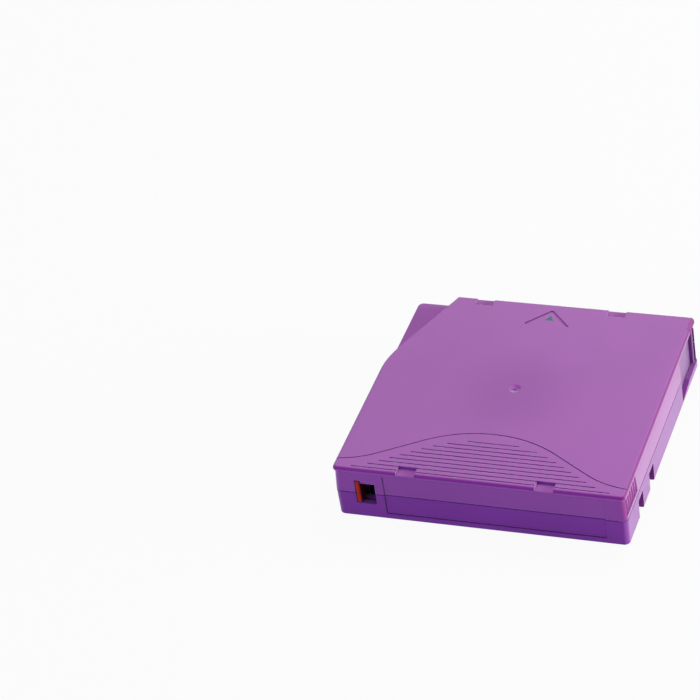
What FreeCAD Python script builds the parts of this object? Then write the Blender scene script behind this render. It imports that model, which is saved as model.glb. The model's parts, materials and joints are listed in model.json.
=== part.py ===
"""Half-inch data tape cartridge with one reel, a side door and a leader pin.

Millimetres. Origin at the centre of the base; +Z up, -Y the label end, +Y the end that
enters the drive, +X the side with the door.
"""
import FreeCAD, Part
import math
import os

# --- case, outside ---------------------------------------------------------------------
case_width = 105.4          # along X
case_depth = 102.0          # along Y
seam_height = 11.0          # where the two shells meet
corner_radius = 2.0
shell_draft = 0.15          # the outline is this much smaller at the base
lip_overhang = 0.45         # and this much smaller below the lip
lip_height = 1.5            # band round the top edge, out to the full outline
top_edge_radius = 1.0
lid_corner_radius = 1.7     # the lip's corners are tighter than the body's
base_edge_radius = 0.6
seam_line_height = 0.4      # the groove that shows where the shells meet
seam_line_depth = 0.6
half_width = case_width / 2
half_depth = case_depth / 2

# --- case, inside ----------------------------------------------------------------------
wall = 2.0
floor_thickness = 1.8
top_thickness = 1.8
inner_corner_radius = 1.0
tongue_thickness = 0.8      # lip of the lower shell that enters the upper one
tongue_height = 0.8
tongue_clearance = 0.1
rib_thickness = 1.2
inner_x = half_width - wall
inner_y = half_depth - wall

# --- door, which sets how much room the reel has ---------------------------------------
door_thickness = 1.5
door_gap = 0.2              # between the door and the wall it slides behind
door_end_gap = 0.3          # above, below and behind the door
door_opening_length = 21.1
door_opening_margin = 2.7   # wall left at the end that enters first
door_opening_end_y = half_depth - door_opening_margin
door_opening_start_y = door_opening_end_y - door_opening_length
door_overlap = 1.2
door_rim_height = 3.0
door_scoop_length = 10.8
door_scoop_low_z = 1.0
finger_width = 1.1
finger_height = 14.8
finger_reach = 1.5
rail_thickness = 0.5
rail_height = 1.0
rail_length = 19.2          # how far the rails run on behind the wall beside the opening
door_spring_radius = 0.75
door_spring_wire = 0.3
door_spring_turns = 24
door_spring_steps = 8
door_spring_sides = 6
door_spring_room = 37.0
spigot_radius = 0.5
spigot_length = 2.5
spring_post_length = 2.0
spring_post_height = 4.4
door_x = inner_x - door_gap - door_thickness
door_tail_y = door_opening_start_y - door_overlap
door_end_y = door_opening_end_y - door_end_gap
spring_post_y = door_tail_y - door_spring_room

# --- reel and the opening under it -----------------------------------------------------
reel_side_gap = 0.7         # from the flanges to the door and the end walls
opening_radius = 20.0
opening_chamfer = 0.6
opening_lip_width = 2.0
opening_lip_height = 1.3
reel_clearance = 0.2        # between the flange and the lip it rests over
flange_thickness = 1.0
flange_radius = min(door_x, inner_y) - reel_side_gap
flange_margin = 2.3         # bare flange outside a full pack of tape
tape_radius = flange_radius - flange_margin
hub_radius = 22.0
hub_wall = 2.4
hub_floor = 1.6
weld_step = 1.1             # shoulder that carries the upper flange
weld_clearance = 0.05
tape_width = 12.65
tape_clearance = 0.2
reel_headroom = 1.35        # above the upper flange
drive_teeth = 60
drive_ring_radius = 16.8
drive_ring_width = 3.2
drive_ring_height = 0.7
drive_tooth_height = 1.2
plate_inner_radius = 5.0
plate_outer_radius = 14.9
plate_thickness = 0.7
stake_circle_radius = 10.0
stake_radius = 0.9
reel_wall_thickness = 1.0
reel_wall_sweep = 30.0
reel_wall_angles = (135.0, 225.0, 315.0)

# --- heights, stacked from the base up -------------------------------------------------
flange_z = floor_thickness + opening_lip_height + reel_clearance
tape_z = flange_z + flange_thickness + tape_clearance
tape_top = tape_z + tape_width
upper_flange_z = tape_top + tape_clearance
hub_top = upper_flange_z + flange_thickness
ceiling = hub_top + reel_headroom
case_height = ceiling + top_thickness
lip_level = case_height - lip_height

# --- stepped corner that keys the cartridge (rear left) --------------------------------
step_level = case_height - 4.8
step_angle = 22.2           # degrees between the step's straight run and Y
step_start_y = 1.1          # where the step leaves the left side
step_radius = 47.0
step_wall = 1.6

# --- marks in the top ------------------------------------------------------------------
notch_width = 6.8
notch_length = 4.2
notch_depth = 1.0
notch_centres = (-25.9, 24.1)
groove_depth = 0.3
groove_width = 0.4
bell_centre_x = -1.0
bell_peak_y = 26.0 - half_depth
bell_crown_radius = 44.0
bell_angle = 33.0           # degrees of slope on the straight flanks
bell_flank = 16.7
bell_foot_radius = 31.6
grip_line_count = 10
grip_line_start_y = bell_peak_y - 5.15
grip_line_pitch = 2.12
grip_line_inset = 4.15      # the lines end this far under the bell
grip_line_shift = 1.3       # and their middles lie this far to the right of its own
chevron_x = 0.4
chevron_apex_y = half_depth - 4.2
chevron_reach = 11.7
chevron_width = 0.9
chevron_angle = 46.5
gate_x = -0.8
gate_y = 1.0
gate_radius = 2.25
gate_depth = 0.35
gate_nub_radius = 0.45
entry_chamfer = 1.3         # on the top edge over the door, at the end that enters first
entry_chamfer_length = 8.4
pillar_inset = 0.25         # the corner pillar beside the door stands back from the outline
pillar_radius = 2.2
pillar_size = 8.0
pillar_thickness = 1.2      # the pillar is this thin beside the door's end
pillar_notch_depth = 1.0    # bite out of the pillar's top, where the drive reaches the door
pillar_notch_length = 3.0
pillar_notch_height = 2.8

# --- side grips and gripping notches ---------------------------------------------------
grip_start_y = 1.2 - half_depth
grip_rib_count = 6
grip_rib_pitch = 2.35
grip_land = 0.75            # flat left between two vee grooves
grip_depth = 0.75
grip_low_z = seam_height + 1.4
side_notch_starts = (15.0 - half_depth, 29.8 - half_depth)
side_notch_width = 5.8
side_notch_height = 7.6
side_notch_depth = 2.3
side_notch_wall = 1.3

# --- label recess and write-protect window in the label end ----------------------------
label_left_x = 18.0 - half_width
label_right_x = half_width - 7.5
label_low_z = 2.4
label_high_z = lip_level - 0.3
label_depth = 0.4
label_corner = 0.8
label_line = 0.35           # deeper line along the recess's lower and left edges
window_left_x = 7.5 - half_width
window_width = 7.4
window_low_z = 6.2
window_height = 9.9
window_recess_depth = 0.7
window_hole_height = 8.4
tab_width = 1.7
tab_clearance = 0.25
tab_setback = 0.05          # the tab stands almost flush with the label end
tab_round = 0.5
slider_thickness = 1.5
slider_overlap = 4.8        # how far the slider reaches behind the wall beside its tab

# --- brake and release -----------------------------------------------------------------
lock_teeth = 36
lock_ring_radius = 12.4
lock_ring_width = 2.6
lock_base_height = 1.4
lock_tooth_height = 1.0
lock_mesh_gap = 0.18        # left above and below the meshed teeth
lock_arc_sweep = 48.0
leg_angles = (90.0, 210.0, 330.0)
leg_width = 3.4
leg_depth = 2.4
leg_clearance = 0.3
leg_recess = 0.9            # legs end this far above the tips of the drive teeth
release_gap = 0.2
release_thickness = 1.0
release_disc_radius = 9.6
release_boss_radius = 4.0
brake_gap = 0.3             # between the release plate's boss and the brake
brake_radius = 14.6
brake_thickness = 1.5
brake_boss_radius = 5.2
brake_boss_height = 5.0
guide_rib_thickness = 1.3
guide_rib_reach = 5.6
guide_rib_clearance = 0.3
brake_travel = 1.8
spring_seat_radius = 8.3
spring_seat_wall = 0.9
spring_seat_height = 1.2
brake_spring_radius = 7.3
brake_spring_wire = 0.9
brake_spring_turns = 5
brake_spring_steps = 16     # straight runs in one turn
brake_spring_sides = 8
spring_end_gap = 0.05

# --- leader pin ------------------------------------------------------------------------
pin_head_radius = 3.1
pin_head_thickness = 1.0
pin_rod_radius = 1.5
pin_length = tape_width + 2.35
pin_x = door_x - 0.5 - pin_head_radius
pin_y = inner_y - 6.0
clip_inner_radius = 1.85
clip_wall = 0.9
clip_gap_angle = 196.0
clip_gap_sweep = 58.0
leader_thickness = 0.25
leader_wrap_angle = 150.0
leader_pack_gap = 0.3
stand_clearance = 0.25
stand_wall = 1.0
stand_start_angle = 95.0
stand_sweep = 170.0
leaf_thickness = 0.3
leaf_start_x = pin_x - 6.8
leaf_plate_width = 5.4
leaf_finger_width = 0.8
leaf_bend_radius = 1.0
leaf_bend_offset = 1.5      # the fingers bend this far past the pin's axis

# --- memory board ----------------------------------------------------------------------
board_start_x = inner_x - 16.1
board_length = 14.0
board_width = 9.0
board_thickness = 0.8
board_foot_z = 8.7          # height of the board's support where it meets the wall
board_end_gap = 0.15
chip_size = 4.0
chip_thickness = 0.9

# --- screws and locating holes ---------------------------------------------------------
screw_places = ((6.2 - half_width, 9.5 - half_depth), (half_width - 5.7, 15.0 - half_depth),
                (8.7 - half_width, half_depth - 13.0), (half_width - 16.7, half_depth - 4.8))
screw_radius = 1.2
screw_length = step_level - 3.0
screw_head_radius = 2.4
screw_head_height = 1.2
screw_recess = 0.1
screw_hole_radius = 1.45
pilot_clearance = 0.05
screw_boss_radius = 2.6
locating_hole_radius = 2.0
locating_hole_depth = 3.2
locating_slot_length = 6.0
locating_x = 27.5
locating_y = half_depth - 6.0
locating_wall = 1.0

# --- worked out from the sizes above ---------------------------------------------------
hub_inner_radius = hub_radius - hub_wall
hub_floor_top = flange_z + hub_floor
ring_face = flange_z - drive_ring_height
tooth_tip = ring_face - drive_tooth_height
lock_root = hub_floor_top + lock_base_height
lock_tip = lock_root + lock_tooth_height
brake_face = lock_tip + lock_mesh_gap
brake_top = brake_face + brake_thickness
release_z = hub_floor_top + release_gap
release_top = release_z + release_thickness
door_low = floor_thickness + door_end_gap
door_high = ceiling - door_end_gap
door_mid_z = (door_low + door_high) / 2
pin_z = (tape_z + tape_top) / 2 - pin_length / 2
pin_top = pin_z + pin_length
slider_x = window_left_x + tab_clearance
slider_low = window_low_z - 0.6
slider_high = window_low_z + window_height + 0.5
UP = FreeCAD.Vector(0, 0, 1)


# --- small helpers ---------------------------------------------------------------------
def point(x, y, z=0.0):
    return FreeCAD.Vector(x, y, z)


def block(x0, x1, y0, y1, z0, z1):
    return Part.makeBox(x1 - x0, y1 - y0, z1 - z0, point(x0, y0, z0))


def cylinder(radius, z0, z1, x=0.0, y=0.0):
    return Part.makeCylinder(radius, z1 - z0, point(x, y, z0))


def ring(inner, outer, z0, z1, x=0.0, y=0.0):
    return cylinder(outer, z0, z1, x, y).cut(cylinder(inner, z0 - 1, z1 + 1, x, y))


def ring_sector(inner, outer, start, sweep, z0, z1, x=0.0, y=0.0):
    """Part of a ring, from the angle start over sweep degrees, anticlockwise."""
    sector = Part.makeCylinder(outer, z1 - z0, point(x, y, z0), UP, sweep)
    sector.rotate(point(x, y, z0), UP, start)
    return sector.cut(cylinder(inner, z0 - 1, z1 + 1, x, y))


def prism(points, direction):
    """A flat outline, given as 3-D points, pushed along a direction."""
    return Part.Face(Part.makePolygon(points + points[:1])).extrude(direction)


def turned(shape, angle, x=0.0, y=0.0):
    copy = shape.copy()
    copy.rotate(point(x, y), UP, angle)
    return copy


def mirrored(shape):
    """The same feature on the other side of the case."""
    return shape.mirror(point(0, 0), point(1, 0))


def revolved(profile):
    """A turned solid from (radius, z) points."""
    corners = [point(radius, 0, z) for radius, z in profile]
    face = Part.Face(Part.makePolygon(corners + corners[:1]))
    return face.revolve(point(0, 0), UP, 360)


def outline(inset, z, radius=corner_radius):
    """The case's rounded rectangle, drawn in by inset, at height z."""
    flat_x = half_width - inset - radius
    flat_y = half_depth - inset - radius
    corners = ((flat_x, -flat_y, -90), (flat_x, flat_y, 0), (-flat_x, flat_y, 90), (-flat_x, -flat_y, 180))
    arcs = []
    for x, y, start in corners:
        circle = Part.Circle(point(x, y, z), UP, radius)
        arcs.append(Part.Arc(circle, math.radians(start), math.radians(start + 90)))
    edges = []
    for index, arc in enumerate(arcs):
        following = arcs[(index + 1) % 4]
        edges.append(arc.toShape())
        edges.append(Part.LineSegment(arc.EndPoint, following.StartPoint).toShape())
    return Part.Wire(edges)


def slab(inset, z0, z1, radius=corner_radius):
    """The case's outline, drawn in by inset, as a plate with upright sides."""
    return Part.Face(outline(inset, z0, radius)).extrude(point(0, 0, z1 - z0))


def drafted_block(low_inset, z0, high_inset, z1):
    """The case's outline with sloping sides: one inset at z0, another at z1."""
    low_x, low_y = half_width - low_inset, half_depth - low_inset
    high_x, high_y = half_width - high_inset, half_depth - high_inset
    wedge = Part.makeWedge(-low_x, z0, -low_y, -high_y, -high_x, low_x, z1, low_y, high_y, high_x)
    wedge.rotate(point(0, 0), point(1, 0), 90)
    upright = [edge for edge in wedge.Edges if edge.BoundBox.ZLength > (z1 - z0) / 2]
    return wedge.makeFillet(corner_radius, upright)


def outer_edges(shape, z):
    """The edges of a shape that lie flat at height z."""
    flat = [edge for edge in shape.Edges if edge.BoundBox.ZLength < 1e-6]
    return [edge for edge in flat if abs(edge.BoundBox.ZMin - z) < 1e-6]


def coil(radius, wire, turns, length, steps, sides):
    """An open coil spring along +Z from the origin, in short runs of a many-sided wire."""
    sections = []
    for index in range(turns * steps + 1):
        angle = 2 * math.pi * index / steps
        z = length * index / (turns * steps)
        corners = []
        for side in range(sides):
            around = 2 * math.pi * side / sides
            reach = radius + wire / 2 * math.cos(around)
            corners.append(point(reach * math.cos(angle), reach * math.sin(angle),
                                 z + wire / 2 * math.sin(around)))
        sections.append(Part.makePolygon(corners + corners[:1]))
    return Part.makeLoft(sections, True, True)


def step_prism(inset, z0, z1):
    """What the keyed corner takes away, with its edge drawn in by inset."""
    angle = math.radians(step_angle)
    centre_x = -half_width + step_radius
    radius = step_radius - inset
    start = point(centre_x - radius, step_start_y, z0)
    middle = point(centre_x - radius * math.cos(angle / 2), step_start_y + radius * math.sin(angle / 2), z0)
    end = point(centre_x - radius * math.cos(angle), step_start_y + radius * math.sin(angle), z0)
    run = (half_depth + 5 - end.y) / math.cos(angle)
    far = end + point(math.sin(angle) * run, math.cos(angle) * run)
    outside_x = -half_width - 5
    corners = [far, point(outside_x, far.y, z0), point(outside_x, step_start_y, z0), start]
    edges = [Part.Arc(start, middle, end).toShape(), Part.LineSegment(end, far).toShape()]
    for first, second in zip(corners, corners[1:]):
        edges.append(Part.LineSegment(first, second).toShape())
    return Part.Face(Part.Wire(edges)).extrude(point(0, 0, z1 - z0))


# --- marks in the top ------------------------------------------------------------------
def bell_half_width(y):
    """Half the width of the bell curve at a given Y."""
    angle = math.radians(bell_angle)
    crown_drop = bell_crown_radius * (1 - math.cos(angle))
    drop = bell_peak_y - y
    if drop <= crown_drop:
        return math.sqrt(bell_crown_radius ** 2 - (bell_crown_radius - drop) ** 2)
    crown_half = bell_crown_radius * math.sin(angle)
    flank_drop = bell_flank * math.sin(angle)
    if drop <= crown_drop + flank_drop:
        return crown_half + (drop - crown_drop) / math.tan(angle)
    foot_half = crown_half + bell_flank * math.cos(angle) + bell_foot_radius * math.sin(angle)
    left = crown_drop + flank_drop + bell_foot_radius * (1 - math.cos(angle)) - drop
    return foot_half - math.sqrt(bell_foot_radius ** 2 - (bell_foot_radius - max(left, 0)) ** 2)


def bell_groove():
    """The groove that arches over the grip lines: crown, two flanks, two feet."""
    low, high = case_height - groove_depth, case_height + 1
    half = groove_width / 2
    angle = math.radians(bell_angle)
    crown_y = bell_peak_y - bell_crown_radius
    crown = ring_sector(bell_crown_radius - half, bell_crown_radius + half, 90 - bell_angle,
                        2 * bell_angle, low, high, bell_centre_x, crown_y)
    flank_x = bell_centre_x + bell_crown_radius * math.sin(angle)
    flank_y = crown_y + bell_crown_radius * math.cos(angle)
    flank = block(flank_x, flank_x + bell_flank, flank_y - half, flank_y + half, low, high)
    flank = turned(flank, -bell_angle, flank_x, flank_y)
    foot_x = flank_x + bell_flank * math.cos(angle) + bell_foot_radius * math.sin(angle)
    foot_y = flank_y - bell_flank * math.sin(angle) + bell_foot_radius * math.cos(angle)
    foot = ring_sector(bell_foot_radius - half, bell_foot_radius + half, 270 - bell_angle,
                       bell_angle, low, high, foot_x, foot_y)
    other_side = [side.mirror(point(bell_centre_x, 0), point(1, 0)) for side in (flank, foot)]
    return [crown, flank, foot] + other_side


def grip_lines():
    """Straight grooves under the bell, longer towards the label end."""
    lines = []
    for index in range(grip_line_count):
        y = grip_line_start_y - index * grip_line_pitch
        half = bell_half_width(y + grip_line_inset)
        middle_x = bell_centre_x + grip_line_shift
        lines.append(block(middle_x - half, middle_x + half, y - groove_width / 2,
                           y + groove_width / 2, case_height - groove_depth, case_height + 1))
    return lines


def chevron():
    """An arrowhead groove that points at the end that enters first."""
    arm = block(0, chevron_reach, -chevron_width / 2, chevron_width / 2,
                case_height - groove_depth, case_height + 1)
    arm.translate(point(chevron_x, chevron_apex_y))
    first = turned(arm, -chevron_angle, chevron_x, chevron_apex_y)
    second = turned(arm, 180 + chevron_angle, chevron_x, chevron_apex_y)
    return [first, second]


def gate_dimple():
    """The shallow dish round the moulding gate."""
    radius = (gate_radius ** 2 + gate_depth ** 2) / (2 * gate_depth)
    return Part.makeSphere(radius, point(gate_x, gate_y, case_height - gate_depth + radius))


def gate_nub():
    """What is left of the sprue, in the middle of the dish."""
    nub = cylinder(gate_nub_radius, case_height - gate_depth - 0.2, case_height, gate_x, gate_y)
    return nub.makeFillet(gate_nub_radius * 0.6, outer_edges(nub, case_height))


def top_notches():
    notches = []
    for x in notch_centres:
        for side in (-1, 1):
            edge = side * (half_depth + 1)
            inner = side * (half_depth - notch_length)
            notches.append(block(x - notch_width / 2, x + notch_width / 2, min(edge, inner),
                                 max(edge, inner), case_height - notch_depth, case_height + 1))
    return notches


# --- features that both shells share ---------------------------------------------------
def side_grip_grooves():
    """Upright vee grooves, side by side, at the label end of both sides, below the lip."""
    face = half_width - lip_overhang
    overshoot = 1.0
    spread = (grip_rib_pitch - grip_land) / 2 * (1 + overshoot / grip_depth)
    grooves = []
    for index in range(grip_rib_count):
        y = grip_start_y + (index + 0.5) * grip_rib_pitch
        corners = [point(face - grip_depth, y, grip_low_z), point(face + overshoot, y - spread, grip_low_z),
                   point(face + overshoot, y + spread, grip_low_z)]
        groove = prism(corners, point(0, 0, lip_level - grip_low_z))
        grooves += [groove, mirrored(groove)]
    return grooves


def seam_line():
    """A narrow groove round the top edge of the lower shell, as deep again in the label recess."""
    low = seam_height - seam_line_height
    groove = slab(-1, low, seam_height + 1).cut(slab(seam_line_depth, low - 1, seam_height + 2))
    in_label = block(label_left_x, label_right_x, -half_depth - 1,
                     -half_depth + label_depth + seam_line_depth, low, seam_height + 1)
    return groove.fuse(in_label)


def pillar_relief():
    """Draws in the corner beside the door, above the rim, with a notch under the lip."""
    around = block(half_width - pillar_size, half_width + 1, half_depth - pillar_size, half_depth + 1,
                   door_rim_height, lip_level)
    notch = block(half_width - pillar_notch_depth, half_width + 1, half_depth - pillar_notch_length,
                  half_depth + 1, lip_level - pillar_notch_height, lip_level)
    return around.cut(slab(pillar_inset, door_rim_height - 1, lip_level + 1, pillar_radius)).fuse(notch)


def entry_bevel():
    """Slopes the lip over the door, towards the corner that enters first."""
    start = half_depth - entry_chamfer_length
    corners = [point(half_width - entry_chamfer, start, case_height),
               point(half_width + 1, start, case_height),
               point(half_width + 1, start, lip_level), point(half_width, start, lip_level + 0.1)]
    return prism(corners, point(0, entry_chamfer_length + 1))


def label_recess():
    """The shallow flat for a label, across both shells, with a line along two edges."""
    recess = block(label_left_x, label_right_x, -half_depth - 1, -half_depth + label_depth,
                   label_low_z, label_high_z)
    upright = [edge for edge in recess.Edges if edge.BoundBox.YLength > label_depth]
    recess = recess.makeFillet(label_corner, upright)
    floor = -half_depth + label_depth + label_line
    lower = block(label_left_x + label_corner, label_right_x - label_corner, -half_depth - 1, floor,
                  label_low_z, label_low_z + label_line)
    left = block(label_left_x, label_left_x + label_line, -half_depth - 1, floor,
                 label_low_z + label_corner, label_high_z - label_corner)
    return recess.fuse([lower, left])


def write_protect_window():
    """A shallow recess, with a lower hole through the wall."""
    right = window_left_x + window_width
    recess = block(window_left_x, right, -half_depth - 1, -half_depth + window_recess_depth,
                   window_low_z, window_low_z + window_height)
    hole = block(window_left_x, right, -half_depth - 1, -inner_y + 1,
                 window_low_z, window_low_z + window_hole_height)
    return recess.fuse(hole)


def door_opening():
    """The way out for the leader pin, with the scoop in its rim."""
    way = block(inner_x - 0.5, half_width + 1, door_opening_start_y, half_depth - pillar_thickness,
                door_rim_height, ceiling)
    scoop = prism([point(inner_x - 0.5, door_opening_start_y, door_scoop_low_z),
                   point(inner_x - 0.5, door_opening_start_y + door_scoop_length, door_rim_height),
                   point(inner_x - 0.5, door_opening_start_y + door_scoop_length, ceiling),
                   point(inner_x - 0.5, door_opening_start_y, ceiling)], point(wall + 1.5, 0))
    return way.fuse(scoop)


def tongue(clearance):
    """The ring of the lower shell that enters the upper one."""
    top = seam_height + tongue_height + clearance
    outer = slab(wall - tongue_thickness - clearance, seam_height - 0.5, top, inner_corner_radius)
    lip = outer.cut(slab(wall, seam_height - 1, top + 1, inner_corner_radius))
    door_gap_block = block(inner_x - 1, half_width, door_opening_start_y - 1, half_depth,
                           seam_height - 1, top + 1)
    window_gap = block(window_left_x - 1, window_left_x + window_width + 1, -half_depth, -inner_y + 1,
                       seam_height - 1, top + 1)
    if clearance:
        return lip
    return lip.cut([door_gap_block, window_gap])


def reel_walls(z0, z1):
    """Arcs in the corners that keep the reel in place."""
    inner = flange_radius + reel_side_gap
    outer = inner + reel_wall_thickness
    return [ring_sector(inner, outer, angle - reel_wall_sweep / 2, reel_wall_sweep, z0, z1)
            for angle in reel_wall_angles]


def pin_stand(z0, z1):
    """A half tube, open towards the door, round one head of the leader pin."""
    inner = pin_head_radius + stand_clearance
    return ring_sector(inner, inner + stand_wall, stand_start_angle, stand_sweep, z0, z1, pin_x, pin_y)


def door_rail(z0, z1):
    outer = door_x - door_end_gap
    return block(outer - rail_thickness, outer, door_opening_start_y - rail_length, inner_y, z0, z1)


def slider_guides(z0, z1, shelf_z0, shelf_z1):
    """A shelf for the slider's edge and a rib behind it."""
    right = window_left_x + window_width + 1.3
    back = -inner_y + slider_thickness + 2 * tab_clearance
    shelf = block(-inner_x, right, -inner_y, back, shelf_z0, shelf_z1)
    rib = block(-inner_x, right, back, back + rib_thickness, z0, z1)
    return [shelf, rib]


# --- the two shells --------------------------------------------------------------------
def lower_case():
    shell = drafted_block(shell_draft, 0, 0, seam_height)
    shell = shell.makeFillet(base_edge_radius, outer_edges(shell, 0))
    shell = shell.cut(slab(wall, floor_thickness, seam_height + 1, inner_corner_radius))
    lip_outer = opening_radius + opening_lip_width
    lip_top = floor_thickness + opening_lip_height
    under = floor_thickness - 0.2
    board_back = -inner_y + board_foot_z - floor_thickness
    additions = [cylinder(lip_outer, under, lip_top), tongue(0)]
    additions += reel_walls(under, seam_height - 1)
    additions.append(pin_stand(under, pin_z + pin_head_thickness))
    additions.append(cylinder(pin_head_radius, under, pin_z, pin_x, pin_y))
    additions.append(door_rail(under, floor_thickness + rail_height))
    additions += slider_guides(under, window_low_z, under, slider_low - tab_clearance)
    additions.append(spring_post(seam_height - spring_post_height / 2, seam_height))
    for x, y in screw_places:
        additions.append(cylinder(screw_boss_radius, under, seam_height, x, y))
    for x in (board_start_x + 1, board_start_x + board_length - 1 - rib_thickness):
        additions.append(prism([point(x, -inner_y, under), point(x, board_back, under),
                                point(x, board_back, floor_thickness), point(x, -inner_y, board_foot_z)],
                               point(rib_thickness, 0)))
    locating_top = locating_hole_depth + locating_wall
    boss = locating_hole_radius + locating_wall + 0.2
    additions.append(cylinder(boss, under, locating_top, -locating_x, locating_y))
    additions.append(locating_slot(boss, locating_slot_length - 2 * locating_hole_radius, under,
                                   locating_top))
    for start in side_notch_starts:
        backing = block(half_width - side_notch_depth - side_notch_wall, inner_x + 0.5,
                        start - side_notch_wall, start + side_notch_width + side_notch_wall,
                        under, side_notch_height + side_notch_wall)
        additions += [backing, mirrored(backing)]
    shell = shell.fuse(additions)
    cuts = [cylinder(opening_radius, -1, lip_top + 1), label_recess(), write_protect_window(), door_opening(),
            seam_line(), pillar_relief()]
    cuts.append(Part.makeCone(opening_radius + opening_chamfer, opening_radius, opening_chamfer))
    for x, y in screw_places:
        cuts.append(cylinder(screw_hole_radius, -1, seam_height + 1, x, y))
        cuts.append(screw_head(x, y, pilot_clearance))
        cuts.append(cylinder(screw_head_radius + pilot_clearance, -1, screw_recess, x, y))
    cuts.append(cylinder(locating_hole_radius, -1, locating_hole_depth, -locating_x, locating_y))
    cuts.append(locating_slot(locating_hole_radius, locating_slot_length - 2 * locating_hole_radius,
                              -1, locating_hole_depth))
    for start in side_notch_starts:
        notch = block(half_width - side_notch_depth, half_width + 1, start, start + side_notch_width,
                      -1, side_notch_height)
        cuts += [notch, mirrored(notch)]
    return shell.cut(cuts).removeSplitter()


def upper_case():
    shell = drafted_block(0, seam_height, lip_overhang, lip_level)
    shell = shell.cut(step_prism(lip_overhang, step_level, case_height))
    lip = slab(0, lip_level, case_height, lid_corner_radius)
    lip = lip.makeFillet(top_edge_radius, outer_edges(lip, case_height))
    shell = shell.fuse(lip.cut(step_prism(0, lip_level - 1, case_height + 1)))
    cavity = slab(wall, seam_height - 1, ceiling, inner_corner_radius)
    shell = shell.cut(cavity.cut(step_prism(step_wall, step_level - step_wall, case_height)))
    over = ceiling + 0.2
    step_ceiling = step_level - step_wall + 0.2
    additions = reel_walls(seam_height + 1, over)
    additions.append(pin_stand(pin_top - pin_head_thickness, over))
    additions.append(cylinder(pin_head_radius, pin_top, over, pin_x, pin_y))
    additions.append(door_rail(ceiling - rail_height, over))
    guide_z = window_low_z + window_height - 2.5
    additions += slider_guides(guide_z, over, slider_high + tab_clearance, over)
    additions.append(spring_post(seam_height, seam_height + spring_post_height / 2))
    for x, y in screw_places:
        stepped = x < 0 < y
        additions.append(cylinder(screw_boss_radius, seam_height, step_ceiling if stepped else over, x, y))
    additions += guide_cross(over)
    additions.append(ring(spring_seat_radius, spring_seat_radius + spring_seat_wall,
                          ceiling - spring_seat_height, over))
    additions.append(board_clamp(over))
    shell = shell.fuse(additions)
    cuts = bell_groove() + grip_lines() + chevron() + [gate_dimple()] + top_notches() + side_grip_grooves()
    cuts += [label_recess(), write_protect_window(), door_opening(), pillar_relief(), entry_bevel()]
    cuts.append(tongue(tongue_clearance))
    for x, y in screw_places:
        cuts.append(cylinder(screw_radius + pilot_clearance, seam_height - 1,
                             screw_recess + screw_length + 0.4, x, y))
    return shell.cut(cuts).fuse(gate_nub()).removeSplitter()


def locating_slot(radius, straight, z0, z1):
    """The long locating hole, or the wall round it."""
    left = cylinder(radius, z0, z1, locating_x - straight / 2, locating_y)
    right = cylinder(radius, z0, z1, locating_x + straight / 2, locating_y)
    middle = block(locating_x - straight / 2, locating_x + straight / 2,
                   locating_y - radius, locating_y + radius, z0, z1)
    return middle.fuse([left, right])


def guide_cross(z1):
    """The cross rib that keeps the brake from turning."""
    half = guide_rib_thickness / 2
    low = brake_top + brake_travel + 0.4
    along_x = block(-guide_rib_reach, guide_rib_reach, -half, half, low, z1)
    return [along_x, turned(along_x, 90)]


def spring_post(z0, z1):
    """The stop for the fixed end of the door's spring."""
    return block(door_x - 0.5, inner_x + 0.5, spring_post_y - spring_post_length, spring_post_y, z0, z1)


def board_clamp(z1):
    """A rib from the upper shell that holds the memory board down."""
    x = board_start_x + board_length / 2 + chip_size
    y = -inner_y + 1.5
    surface = board_foot_z - 1.5 + board_thickness * math.sqrt(2)
    return block(x, x + rib_thickness, y, y + 1.5, surface + board_end_gap, z1)


# --- reel ------------------------------------------------------------------------------
def radial_tooth(radius, width, pitch, root, tip):
    """One face-gear tooth along +X, from its root height to its tip."""
    broad, narrow = 0.31 * pitch, 0.10 * pitch
    start = radius - width / 2
    sunk = root + (0.05 if root > tip else -0.05)
    section = [point(start, -broad, sunk), point(start, broad, sunk), point(start, broad, root),
               point(start, narrow, tip), point(start, -narrow, tip), point(start, -broad, root)]
    return prism(section, point(width, 0))


def drive_teeth_solids():
    """The ring of teeth that the drive turns, left out where the legs come through."""
    pitch = 2 * math.pi * drive_ring_radius / drive_teeth
    step = 360 / drive_teeth
    tooth = radial_tooth(drive_ring_radius, drive_ring_width - 0.4, pitch, ring_face, tooth_tip)
    clear = math.degrees((leg_width / 2 + leg_clearance + 0.31 * pitch) / drive_ring_radius)
    teeth = []
    for index in range(drive_teeth):
        angle = (index + 0.5) * step
        away = min(abs((angle - leg + 180) % 360 - 180) for leg in leg_angles)
        if away > clear:
            teeth.append(turned(tooth, angle))
    return teeth


def lock_arcs():
    """Three toothed arcs inside the hub, between the legs of the release plate."""
    inner = lock_ring_radius - lock_ring_width / 2 - 0.2
    outer = lock_ring_radius + lock_ring_width / 2 + 0.2
    pitch = 2 * math.pi * lock_ring_radius / lock_teeth
    step = 360 / lock_teeth
    tooth = radial_tooth(lock_ring_radius, lock_ring_width, pitch, lock_root, lock_tip)
    count = int(lock_arc_sweep / step / 2)
    pieces = []
    for leg in leg_angles:
        middle = leg + 60
        pieces.append(ring_sector(inner, outer, middle - lock_arc_sweep / 2, lock_arc_sweep,
                                  hub_floor_top - 0.1, lock_root))
        pieces += [turned(tooth, middle + index * step) for index in range(-count, count + 1)]
    return pieces


def leg_hole():
    half = leg_width / 2 + leg_clearance
    reach = leg_depth / 2 + leg_clearance
    low, high = tooth_tip, hub_floor_top + 1
    return block(drive_ring_radius - reach, drive_ring_radius + reach, -half, half, low, high)


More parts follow.
